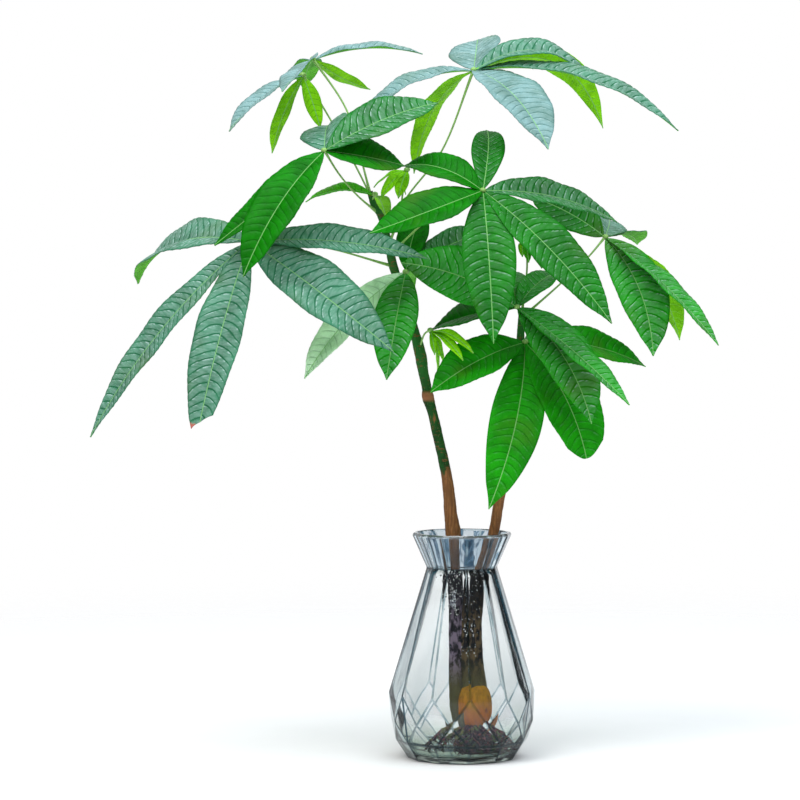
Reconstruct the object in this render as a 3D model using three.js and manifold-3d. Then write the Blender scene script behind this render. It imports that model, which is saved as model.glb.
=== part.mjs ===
// A money tree growing in a facetted glass vase of water: one root clump, two stems
// and fourteen palmate leaves. Millimetres, +Z up, the origin at the centre of the
// vase's foot, the side that is looked at facing -Y.
import * as THREE from "three";
import { mergeVertices } from "three/addons/utils/BufferGeometryUtils.js";
import Module from "manifold-3d";

const wasm = await Module();
wasm.setup();

// Vase and water
const SIDES = 12;
const VASE_TURN = 5.5;
const VASE_HEIGHT = 156;
const FOOT_RADIUS = 37.5;
const BAND = { radius: 46, height: 13 };
const DIAMOND = { radius: 49.7, height: 27 };
const SHOULDER = { radius: 50.8, height: 46 };
const NECK = { radius: 24.6, height: 132 };
const RIM_RADIUS = 34.6;
const GLASS = 3;
const FLOOR = 5;
const WATER_TOP = 130.6;
const GAP = 0.3;

// Stems, swollen base and roots
const STEM_SIDES = 8;
const ROOT_SIDES = 5;
const BULB = { centre: [7, 0, 36], radii: [9.5, 9, 16] };
const ROOTS = { count: 12, start: [5, 0, 25], reach: 29, radius: 1.3, lowest: 8 };
const HOLE_GAP = 0.4;

// Each row is x, y, z and the radius there, from the foot to the top.
const MAIN_STEM = [
  [1, 0, 19, 3.5],
  [-1.5, 0, 34, 5],
  [-2.4, 0, 60, 5],
  [-3, 0, 100, 4.9],
  [-3.7, 0, 121, 5.5],
  [-5, 0, 132, 4.8],
  [-6.2, 0, 156, 5.4],
  [-7.6, 0, 167, 4.6],
  [-10.6, 0, 195, 3.8],
  [-16.8, 0, 223, 3.5],
  [-20.8, 0, 240, 3.4],
  [-23.6, 0, 250, 4.2],
  [-24.2, 0, 255, 3.3],
  [-26.8, 0, 267, 3.6],
  [-28.8, 0, 279, 4.1],
  [-32.4, 0, 293, 3.4],
  [-41.6, 0, 322, 3.2],
  [-48, 0, 342, 3],
  [-52, 0, 360, 2.7],
  [-56, 0, 374, 2.4],
  [-61, 0, 382, 2.2],
  [-63.5, 0, 391, 2],
];
const SIDE_STEM = [
  [8, 1, 40, 6],
  [5.2, 1, 66, 5.6],
  [5, 1, 92, 5.3],
  [7.4, 1, 112, 5.2],
  [8.2, 0.5, 123, 5.1],
  [13.8, 0, 134, 3.6],
  [20.5, 0, 150, 3.6],
  [25.5, 0, 177, 3.7],
  [31, 0, 212, 3.5],
  [36, 0, 246, 3.2],
  [38.5, 0, 270, 3.2],
  [40, 0, 287, 2.8],
  [41, 0, 308, 2.2],
];

// Leaves: the blades' thickness, fold and wave, and the leaf stalks
const BLADE = 0.7;
const RIB = 1.1;
const FOLD = 0.2;
const WAVE = 0.7;
const STALK_SIDES = 5;
const STALK_RADIUS = 1;
const KNOT_RADIUS = 2.2;

// up: the way that the leaf's face looks.
// stalk: points from inside the stem to the knot where the leaflets meet.
// leaflets: each row is the tip's x, y and z, the width, how far the middle rises above
// the straight line from knot to tip and sways to its right, the roll about that line in
// degrees and, where a tip is cut off, the share of the outline that is left.
const LEAVES = {
  leaf_top_left: {
    up: [0, -0.2, 1],
    stalk: [[-63, 0, 388], [-70, 8, 415], [-80, 16, 448], [-103, 20, 483]],
    leaflets: [
      [-27, 30, 487, 24, 6, 0, 0],
      [-122, -58, 457, 26, 4, -2, 30],
      [-64, 60, 464, 11, -2, 0, -35],
      [-112, 90, 466, 20, 4, 0, 0],
    ],
  },
  leaf_left_high: {
    up: [-0.3, -0.2, 1],
    stalk: [[-59, 0, 379], [-70, 12, 402], [-91, 26, 441], [-110, 20, 472]],
    leaflets: [
      [-160, -10, 432, 26, 5, 0, 0],
      [-98, 24, 435, 12, 2, 0, 0],
      [-132, 30, 418, 13, 3, 0, 50],
    ],
  },
  leaf_top: {
    up: [0.05, -0.25, 1],
    stalk: [[-53, 0, 365], [-36, 8, 390], [-14, 8, 419], [8, 10, 475]],
    leaflets: [
      [12, 66, 499, 38, 2, 0, -20],
      [-73, 5, 434, 30, 12, 0, 0],
      [56, -75, 418, 42, 10, -1, 0],
      [90, 25, 470, 30, 17, 0, 10],
      [147, -20, 432, 34, 17, 0, 0],
      [101, 75, 437, 22, 28, 0, -50],
      [-33, 75, 405, 21, 14, 0, 0],
    ],
  },
  leaf_left_middle: {
    up: [-0.1, -0.6, 0.8],
    stalk: [[-59, 0, 377], [-72, -15, 388], [-84, -30, 402], [-94, -45, 418]],
    leaflets: [
      [-92, 14, 437, 36, 5, 0, -20],
      [-17, -20, 451, 40, 8, 4, 0],
      [-40, -35, 408, 36, 4, 4, 0],
      [-147, -85, 333, 36, 10, 0, 0],
      [-168, -50, 354, 24, 2, -4, 0],
    ],
  },
  leaf_front: {
    up: [0, -0.6, 0.8],
    stalk: [[-50, 0, 347], [-24, -28, 371], [3, -46, 385], [13, -55, 391]],
    leaflets: [
      [17, 0, 433, 23, 8, 2, 0],
      [-41, -25, 408, 28, 8, 0, 0],
      [-63, -80, 362, 36, 4, -5, 0],
      [19, -100, 289, 36, 10, 0, 0],
      [98, -85, 302, 37, 9, 1, 0],
      [106, -10, 370, 32, 8, 0, 0],
    ],
  },
  leaf_big_left: {
    up: [-0.2, -0.55, 0.8],
    stalk: [[-49, 0, 340], [-97, -25, 353], [-145, -40, 357]],
    leaflets: [
      [-228, 60, 327, 42, 18, -1, 0],
      [-253, -40, 224, 27, 9, 2, 0],
      [-177, -85, 231, 36, 8, -2, 0, 0.92],
      [-47, -75, 283, 44, 10, 5, 0],
      [-24, -40, 345, 30, 7, 0, 0],
    ],
  },
  leaf_young_left: {
    up: [0, -0.4, 1],
    stalk: [[-62, 0, 384], [-61, -3, 387], [-60, -6, 389]],
    leaflets: [
      [-108, 6, 384, 18, 6, 0, 0],
      [-52, 42, 371, 12, 4, 0, 0],
    ],
  },
  leaf_young_upper: {
    up: [0, -0.5, 1],
    stalk: [[-50, 0, 356], [-43, -4, 374], [-41, -3, 389], [-38, 0, 406]],
    leaflets: [
      [-56, -6, 386, 10, 3, 0, 0],
      [-61, 10, 394, 6, 3, 0, 0],
      [-44, -12, 386, 10, 2, 0, 0],
      [-39, 8, 389, 6, 2, 0, 0],
    ],
  },
  leaf_centre: {
    up: [-0.1, -0.6, 0.8],
    stalk: [[-43, 0, 322], [-41, -4, 330], [-39, -8, 336]],
    leaflets: [
      [-108, -25, 263, 28, 4, 5, 0],
      [-52, -45, 263, 31, 6, -1, 0],
      [-27, 30, 376, 22, 6, 0, 0],
      [27, 20, 365, 26, 6, 0, 0],
      [-43, 80, 300, 26, 8, 0, 0],
    ],
  },
  leaf_side_top: {
    up: [0, -0.5, 0.85],
    stalk: [[41, 0, 304], [39, -12, 309], [37, -25, 312]],
    leaflets: [
      [-42, -22, 342, 40, 5, 3, -35],
      [32, 25, 335, 22, 5, 0, 0],
      [66, 20, 335, 22, 5, 0, 0],
      [-21, 5, 296, 36, 5, -4, 0],
      [110, -85, 248, 24, 4, 0, -15],
      [86, -60, 234, 40, 8, -5, 0],
    ],
  },
  leaf_side_lower: {
    up: [0.1, -0.6, 0.75],
    stalk: [[39.5, 0, 280], [41, -6, 285], [43, -12, 288]],
    leaflets: [
      [-22, -30, 254, 37, 6, 0, 0],
      [17, -55, 176, 36, 9, -6, 0],
      [128, 20, 270, 32, 8, 0, 0],
      [84, -35, 209, 44, 8, -3, 0, 0.88],
      [71, 70, 258, 28, 8, 0, 0],
    ],
  },
  leaf_right: {
    up: [0.4, -0.3, 0.85],
    stalk: [[41, 0, 304], [69, 14, 328], [88, 20, 346], [100, 25, 360]],
    leaflets: [
      [48, 34, 388, 34, 4, -4, -35],
      [106, 75, 372, 26, 2, 0, 0],
      [127, 95, 355, 24, 6, 2, -30],
      [131, -10, 278, 38, 10, 0, 30],
      [174, -30, 286, 26, 5, 0, 0],
      [156, 75, 287, 28, 10, 0, -40],
    ],
  },
  leaf_young_right: {
    up: [0, -0.5, 1],
    stalk: [[41, 0, 306], [45, 8, 342], [43, 10, 358]],
    leaflets: [
      [46, 4, 342, 6, 2, 0, 0],
      [55, 2, 338, 7, 3, 0, 0],
      [42, 20, 346, 6, 2, 0, 0],
      [57, 0, 342, 6, 3, 0, 0],
    ],
  },
  leaf_young_low: {
    up: [0, -0.5, 1],
    stalk: [[-30, 0, 281], [-26, -8, 293], [-22, -15, 296]],
    leaflets: [
      [-19, -20, 279, 5, 2, 0, 0],
      [-13, -10, 274, 6, 2, 0, 0],
      [0, -40, 276, 8, 4, 0, 0],
      [7, -40, 281, 8, 5, 0, 0],
      [-17, -4, 267, 5, 3, 0, 0],
    ],
  },
};

const vector = (row) => new THREE.Vector3(row[0], row[1], row[2]);
const smooth = (points) => new THREE.CatmullRomCurve3(points, false, "centripetal");

// A closed geometry as a solid that can be joined and cut.
function solid(geometry) {
  const bare = geometry.clone();
  bare.deleteAttribute("normal");
  bare.deleteAttribute("uv");
  const merged = mergeVertices(bare, 1e-4);
  return new wasm.Manifold(
    new wasm.Mesh({
      numProp: 3,
      vertProperties: merged.attributes.position.array,
      triVerts: new Uint32Array(merged.index.array),
    }),
  );
}

// The faces of a joined or cut solid as a geometry.
function faces(body) {
  const mesh = body.getMesh();
  const geometry = new THREE.BufferGeometry();
  geometry.setAttribute("position", new THREE.BufferAttribute(mesh.vertProperties, 3));
  geometry.setIndex(new THREE.BufferAttribute(mesh.triVerts, 1));
  geometry.computeVertexNormals();
  return geometry;
}

// The value at t, between 0 and 1, in a list of values evenly spread.
function between(values, t) {
  const place = t * (values.length - 1);
  const first = Math.min(Math.floor(place), values.length - 2);
  return THREE.MathUtils.lerp(values[first], values[first + 1], place - first);
}

// A cylinder bent along points, with a radius for each of them. It grows by a margin
// all round and at both ends where it is used to cut room for itself.
function bentRod(points, radii, sides, steps, margin = 0) {
  const path = smooth(points);
  const frames = path.computeFrenetFrames(steps);
  const geometry = new THREE.CylinderGeometry(1, 1, 1, sides, steps);
  const place = geometry.attributes.position;
  for (let k = 0; k < place.count; k++) {
    const station = Math.round((place.getY(k) + 0.5) * steps);
    const reach = margin * (Number(station === steps) - Number(station === 0));
    const centre = path.getPoint(path.getUtoTmapping(station / steps));
    const radius = between(radii, path.getUtoTmapping(station / steps)) + margin;
    centre.addScaledVector(frames.tangents[station], reach);
    centre.addScaledVector(frames.binormals[station], place.getX(k) * radius);
    centre.addScaledVector(frames.normals[station], place.getZ(k) * radius);
    place.setXYZ(k, centre.x, centre.y, centre.z);
  }
  return solid(geometry);
}

function stem(rows, steps, margin) {
  const radii = rows.map((row) => row[3]);
  return bentRod(rows.map(vector), radii, STEM_SIDES, steps, margin);
}

function bulb(margin) {
  const [x, y, z] = BULB.radii;
  const ball = new THREE.SphereGeometry(1, 12, 8).rotateX(Math.PI / 2);
  ball.scale(x + margin, y + margin, z + margin).translate(...BULB.centre);
  return solid(ball);
}

// The roots leave the foot of the stems at even turns and spread over the floor.
function root(number, margin) {
  const turn = number * 2.4;
  const share = (number * 0.618) % 1;
  const reach = ROOTS.reach * (0.55 + 0.45 * share);
  const way = new THREE.Vector3(Math.cos(turn), Math.sin(turn), 0);
  const start = vector(ROOTS.start);
  const end = start.clone().addScaledVector(way, reach);
  end.z = ROOTS.lowest + 12 * ((number * 0.38) % 1);
  const bend = start.clone().lerp(end, 0.5);
  bend.z += 3;
  const radii = [ROOTS.radius * 1.6, ROOTS.radius, ROOTS.radius * 0.5];
  return bentRod([start, bend, end], radii, ROOT_SIDES, 4, margin);
}

function stems(margin) {
  return stem(MAIN_STEM, 32, margin).add(stem(SIDE_STEM, 16, margin));
}

// Both stems grow from one swollen base, and all of them and the roots are one piece.
function trunk(margin = 0) {
  let body = stems(margin).add(bulb(margin));
  for (let number = 0; number < ROOTS.count; number++) {
    body = body.add(root(number, margin));
  }
  return body;
}

// One leaflet: a box of strips and stations laid along an arch, folded to a keel at the
// midrib, with its edge waved and its tip drawn out.
function leaflet(knot, row, up) {
  const tip = vector(row);
  const [width, rise, sway, roll, share = 1] = row.slice(3);
  const way = tip.clone().sub(knot);
  const length = way.length();
  way.normalize();
  const face = up.clone().addScaledVector(way, -up.dot(way)).normalize();
  const start = knot.clone().addScaledVector(way, KNOT_RADIUS / 2);
  const crest = start.clone().lerp(tip, 0.5).addScaledVector(face, 2 * rise);
  crest.addScaledVector(way.clone().cross(face), 2 * sway);
  face.applyAxisAngle(way, THREE.MathUtils.degToRad(roll));
  const path = new THREE.QuadraticBezierCurve3(start, crest, tip);
  const stations = THREE.MathUtils.clamp(Math.round(length / 16), 3, 7);
  const strips = width > 20 ? 4 : 2;
  const geometry = new THREE.BoxGeometry(2, 1, 1, strips, stations, 1);
  const place = geometry.attributes.position;
  for (let k = 0; k < place.count; k++) {
    const along = place.getY(k) + 0.5;
    const across = place.getX(k);
    const station = Math.round(along * stations);
    const half = halfWidth(along * share, width);
    const side = path.getTangent(along).cross(face).normalize();
    const normal = side.clone().cross(path.getTangent(along)).normalize();
    const wave = (station % 2 ? WAVE : -WAVE) * Math.abs(across) * (half / width) * 2;
    const fold = Math.abs(across) * half * FOLD;
    const under = place.getZ(k) > 0 ? 0 : THREE.MathUtils.lerp(RIB, BLADE, Math.abs(across));
    const point = path.getPoint(along);
    point.addScaledVector(side, across * half);
    point.addScaledVector(normal, fold + wave - under);
    place.setXYZ(k, point.x, point.y, point.z);
  }
  splitAlike(geometry);
  return solid(geometry);
}

// Half of a leaflet's width: a short stalk, widest near the middle, then a fine tip.
function halfWidth(along, width) {
  const swell = Math.sin(Math.PI * Math.pow(along, 0.95));
  return Math.max((width / 2) * Math.pow(Math.max(swell, 0), 0.8), along > 0.5 ? 0.4 : 0.9);
}

// The underside's squares are split along the same lines as the upper side's.
function splitAlike(geometry) {
  const under = geometry.groups[5];
  const corners = geometry.index.array;
  for (let k = under.start; k < under.start + under.count; k += 6) {
    const [a, b, d] = corners.slice(k, k + 3);
    const c = corners[k + 4];
    corners.set([a, b, c, a, c, d], k);
  }
}

// One leaf: its stalk, the knot at its top and the leaflets, cut clear of the stems.
function leaf({ up, stalk, leaflets }, room) {
  const knot = vector(stalk.at(-1));
  const radii = [STALK_RADIUS * 1.3, STALK_RADIUS, STALK_RADIUS];
  let body = bentRod(stalk.map(vector), radii, STALK_SIDES, 3 * stalk.length - 3);
  const ball = new THREE.IcosahedronGeometry(KNOT_RADIUS);
  body = body.add(solid(ball.translate(...knot.toArray())));
  for (const row of leaflets) {
    body = body.add(leaflet(knot, row, vector(up).normalize()));
  }
  return faces(body.subtract(room));
}

// A ring of flat sides for each profile point, turned by its share of one side.
function facetted(profile) {
  const points = profile.map(([radius, height]) => new THREE.Vector2(radius, height));
  const geometry = new THREE.LatheGeometry(points, SIDES, THREE.MathUtils.degToRad(VASE_TURN));
  const place = geometry.attributes.position;
  const ring = new THREE.Vector3();
  for (let k = 0; k < place.count; k++) {
    const turned = profile[k % profile.length][2] ?? 1;
    ring.fromBufferAttribute(place, k);
    ring.applyAxisAngle(THREE.Object3D.DEFAULT_UP, (turned * 2 * Math.PI) / SIDES);
    place.setXYZ(k, ring.x, ring.y, ring.z);
  }
  return solid(geometry.rotateX(Math.PI / 2));
}

// The vase: a foot band, a zone of diamonds between the band and the shoulder, long
// flat sides up to the neck, and a flared collar. Its inside is plain.
function vase() {
  return facetted([
    [0, 0, 0],
    [FOOT_RADIUS, 0, 0],
    [BAND.radius, BAND.height, 0],
    [DIAMOND.radius, DIAMOND.height, 0.5],
    [SHOULDER.radius, SHOULDER.height],
    [NECK.radius, NECK.height],
    [RIM_RADIUS, VASE_HEIGHT - 1],
    [RIM_RADIUS - 1, VASE_HEIGHT],
    [RIM_RADIUS - GLASS, VASE_HEIGHT - 1],
    ...inside(0).reverse(),
  ]);
}

// The profile of the space in the glass, from its floor up to the neck, drawn in by a
// gap on every side.
function inside(gap) {
  return [
    [0, FLOOR + gap],
    [FOOT_RADIUS - 1 - gap, FLOOR + gap],
    [BAND.radius - GLASS - gap, BAND.height],
    [DIAMOND.radius - 1.5 * GLASS - gap, DIAMOND.height],
    [SHOULDER.radius - GLASS - gap, SHOULDER.height],
    [NECK.radius - GLASS - gap, NECK.height],
  ];
}

function water() {
  const level = inside(HOLE_GAP);
  level.at(-1)[1] = WATER_TOP;
  return facetted([...level, [0, WATER_TOP]]).subtract(trunk(HOLE_GAP));
}

function material(color, roughness, extra = {}) {
  return new THREE.MeshStandardMaterial({ color, roughness, metalness: 0, ...extra });
}

function piece(name, geometry, look) {
  const mesh = new THREE.Mesh(geometry, look);
  mesh.name = name;
  return mesh;
}

const plant = new THREE.Group();
const clear = { transparent: true, opacity: 0.4 };
plant.add(piece("vase", faces(vase()), material(0x9fb4bb, 0.05, clear)));
plant.add(piece("water", faces(water()), material(0xdfe9e6, 0.02, clear)));
plant.add(piece("trunk", faces(trunk()), material(0x6b4a33, 0.8)));
const room = stems(GAP);
for (const [name, shape] of Object.entries(LEAVES)) {
  const green = name.startsWith("leaf_young") ? 0x7fbf3a : 0x1f7a2e;
  plant.add(piece(name, leaf(shape, room), material(green, 0.35)));
}

export default plant;
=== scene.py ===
"""A money tree growing in a facetted glass vase of water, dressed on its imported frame.

The tables are in millimetres, as in the part's source. The objects are in metres.
"""

import math
import random

import bmesh
import bpy
from bpy.props import FloatProperty, FloatVectorProperty, IntProperty, PointerProperty
from mathutils import Matrix, Quaternion, Vector, noise
from mathutils.geometry import interpolate_bezier


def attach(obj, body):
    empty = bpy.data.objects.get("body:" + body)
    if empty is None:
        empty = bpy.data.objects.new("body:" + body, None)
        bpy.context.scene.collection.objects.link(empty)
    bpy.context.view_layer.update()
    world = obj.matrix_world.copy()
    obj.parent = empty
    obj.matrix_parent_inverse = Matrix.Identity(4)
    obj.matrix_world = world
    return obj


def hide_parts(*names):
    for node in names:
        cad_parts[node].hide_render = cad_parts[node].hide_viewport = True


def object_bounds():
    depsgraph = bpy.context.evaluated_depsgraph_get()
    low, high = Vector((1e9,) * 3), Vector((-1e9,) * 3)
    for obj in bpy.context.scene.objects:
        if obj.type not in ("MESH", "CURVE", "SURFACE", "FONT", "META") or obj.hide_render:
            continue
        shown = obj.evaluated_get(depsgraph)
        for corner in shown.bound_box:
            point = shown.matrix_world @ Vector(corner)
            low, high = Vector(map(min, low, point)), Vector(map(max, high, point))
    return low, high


bl_info = {
    "name": "Money Tree in a Glass Vase",
    "version": (1, 0, 0),
    "blender": (4, 5, 0),
    "location": "3D View > Sidebar > Money Tree",
    "description": "Builds a money tree that grows in a facetted glass vase of water",
    "category": "Object",
}

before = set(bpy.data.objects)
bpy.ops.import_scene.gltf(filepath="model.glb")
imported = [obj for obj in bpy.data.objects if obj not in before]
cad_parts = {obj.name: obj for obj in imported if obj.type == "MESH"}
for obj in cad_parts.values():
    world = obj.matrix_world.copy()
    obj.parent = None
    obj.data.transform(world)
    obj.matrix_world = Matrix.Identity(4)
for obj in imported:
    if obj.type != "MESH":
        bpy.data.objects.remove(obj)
CAD_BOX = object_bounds()
BODY = "root"
MM = 0.001
UP = Vector((0, 0, 1))

# Vase and water
SIDES = 12
SIDE_ANGLE = 2 * math.pi / SIDES
VASE_TURN = math.radians(5.5)
# Each row is the ring's radius, its height and its turn in sides.
VASE_RINGS = [
    (37.5, 0.0, 0.0), (46.0, 13.0, 0.0), (49.7, 27.0, 0.5), (50.8, 46.0, 1.0),
    (24.6, 132.0, 1.0), (34.6, 154.6, 1.0), (33.6, 156.0, 1.0),
]
# Radius and height of the round inside, from the floor's middle to the rim.
VASE_INSIDE = [
    (0.0, 5.0), (24.0, 5.0), (34.5, 6.2), (41.0, 13.0), (45.0, 27.0), (46.6, 44.0),
    (40.8, 67.0), (31.4, 99.0), (21.6, 131.0), (22.6, 135.5), (30.6, 154.6), (31.4, 156.0),
]
# So many of these rows lie below the neck.
NECK_ROWS = 9
# The foot ends here, where the glass has a painted dark line of shade.
FOOT_TOP = 13
# Points closer than this, in metres, count as one.
FLUSH = 1e-6
LATHE_STEPS = 96
# Widths of the foot's flat edge and of the slope inside it, and the slope's height.
PUNT = (4.5, 7, 1.6)
WATER_TOP = 130.6
WATER_OVERLAP = 0.4
BEAD_SEED = 11
# Each row is an edge of the vase, counted round from the right, and its beads of air.
EDGE_BEADS = ((-3, 26), (-2, 14), (-4, 8))

# Numbers of the materials that the vase's edges, its rim and a leaf's stalk have.
EDGE_MATERIAL = 1
RIM_MATERIAL = 2
STALK_MATERIAL = 2
# What the glass and its edges share. The dim tint weakens the walls' reflection.
GLASS = {"Specular_Tint": (0.35, 0.42, 0.5, 1.0), "IOR": 1.5, "Transmission_Weight": 1.0}
# Painted shade on the rounded edges where they are seen straight on, in two shades that the waves
# mix.
EDGE_SHADE_FACING = ((0.10, 0.18, 0.21), (0.42, 0.53, 0.57))
# The rim's pale colours are a painted highlight.
RIM = ((0.32, 0.40, 0.45), (0.74, 0.80, 0.84))
WATER = (0.985, 0.99, 0.985)
# Heights in metres between which one colour goes over into the next.
FOOT_FADE = (0.006, 0.034)
COLLAR_FADE = (0.129, 0.136)
BULB_FADE = (0.036, 0.05)
WET_FOOT_FADE = (0.045, 0.075)
WET_TOP_FADE = (0.085, 0.118)
WATER_FADE = (0.126, 0.134)
GREEN_FADE = (0.226, 0.236)
TOP_FADE = (0.251, 0.27)

# Each row is x, y, z and the radius there, from the foot to the top.
MAIN_STEM = [
    (1, 0, 19, 3.5), (-1.5, 0, 34, 5), (-2.4, 0, 60, 5), (-3, 0, 100, 4.9), (-3.7, 0, 121, 5.5),
    (-5, 0, 132, 4.8), (-6.2, 0, 156, 5.4), (-7.6, 0, 167, 4.6), (-10.6, 0, 195, 3.8),
    (-16.8, 0, 223, 3.5), (-20.8, 0, 240, 3.4), (-23.6, 0, 250, 4.2), (-24.2, 0, 255, 3.3),
    (-26.8, 0, 267, 3.6), (-28.8, 0, 279, 4.1), (-32.4, 0, 293, 3.4), (-41.6, 0, 322, 3.2),
    (-48, 0, 342, 3), (-52, 0, 360, 2.7), (-56, 0, 374, 2.4), (-61, 0, 382, 2.2),
    (-63.5, 0, 391, 2),
]
SIDE_STEM = [
    (8, 1, 40, 6), (5.2, 1, 66, 5.6), (5, 1, 92, 5.3), (7.4, 1, 112, 5.2), (8.2, 0.5, 123, 5.1),
    (13.8, 0, 134, 3.6), (20.5, 0, 150, 3.6), (25.5, 0, 177, 3.7), (31, 0, 212, 3.5),
    (36, 0, 246, 3.2), (38.5, 0, 270, 3.2), (40, 0, 287, 2.8), (41, 0, 308, 2.2),
]
# Height of the ring that old leaves left on the stems.
NODE_HEIGHT = 250
BULB_CENTRE = (7, 0, 36)
BULB_RADII = (9.5, 9, 16)
ROOT_SEED = 5
ROOT_START = (5, 0, 25)
ROOT_COUNT = 12
# Turn from one root to the next, in radians.
ROOT_TURN = 2.4
ROOT_REACH = 29
ROOT_RADIUS = 1.3
ROOT_LOWEST = 8
# No fine root's tip is further than this from the vase's middle.
ROOTS_WITHIN = 35
TUFTS = 8
TUFT_ROOTS = 12
# How far the tufts lean to the right.
TUFT_LEAN = 10

NODE_RING = (0.34, 0.13, 0.065)
BARK_SPOT = (0.40, 0.27, 0.15)
WET_FOOT = (0.17, 0.155, 0.06)
WORN_ROOT = (0.8, 0.22, 0.22)
ALGAE = (0.24, 0.24, 0.06)
# Bark and roots hardly shine.
DULL = 0.15

# Thickness of a blade and of its midrib.
BLADE = 0.42
RIB = 0.95
# How steeply a blade folds up from its midrib, and how far its edge waves.
FOLD = 0.2
WAVE = 0.7
# Length and width of the faces that a blade is made of.
BLADE_STEP = 0.85
BLADE_STRIP = 3.6
# A leaflet that keeps a larger share than this is torn, and its tip is red from TORN_TIP on.
TORN_SHARE = 0.9
TORN_TIP = 0.975
STALK_RADIUS = 0.65
KNOT_RADIUS = 2.2
# The vectors that a leaf's mesh stores: its place between the veins, its colours above
# and below, and how far out and along it is with its share of painted sheen.
STORED = ("vein", "tone", "under_tone", "tone_edge")
OLIVE = (0.07, 0.13, 0.012)
# What a leaflet's own colour is multiplied by in its dark and light mottles and in its finest
# veins, and the painted shade in the sunk veins of its upper side.
DARK_MOTTLE = (0.66, 0.70, 0.66)
LIGHT_MOTTLE = (1.4, 1.25, 1.4)
FINE_VEIN = (1.6, 1.5, 1.6)
PAINTED_GROOVE_SHADE = (0.42, 0.52, 0.5)

# The stage, in metres.
FLOOR_RADIUS = 1.6
WALLS = (0.96, 0.98, 1.0)
WHITE = (1.0, 1.0, 1.0)
LAMP_AIM = (-0.04, 0, 0.3)
CAMERA_PLACE = (-0.0428, -2.4, 0.352)
CAMERA_AIM = (-0.0428, 0, 0.2474)

# What the letters in LEAVES stand for: the colour above, the colour below and the share of painted
# sheen.
LOOKS = {
    "d": ("deep", "under", 0.02), "s": ("deep", "under", 0.28),
    "b": ("bright", "under", 0.06), "w": ("bright", "under", 0.4),
    "g": ("grey", "under", 0.62), "p": ("pale", "under", 0.5),
    "v": ("veined", "under", 0.5), "m": ("milky", "under", 0.3),
    "l": ("light", "light", 0.0), "y": ("young", "light", 0.05),
}
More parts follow.
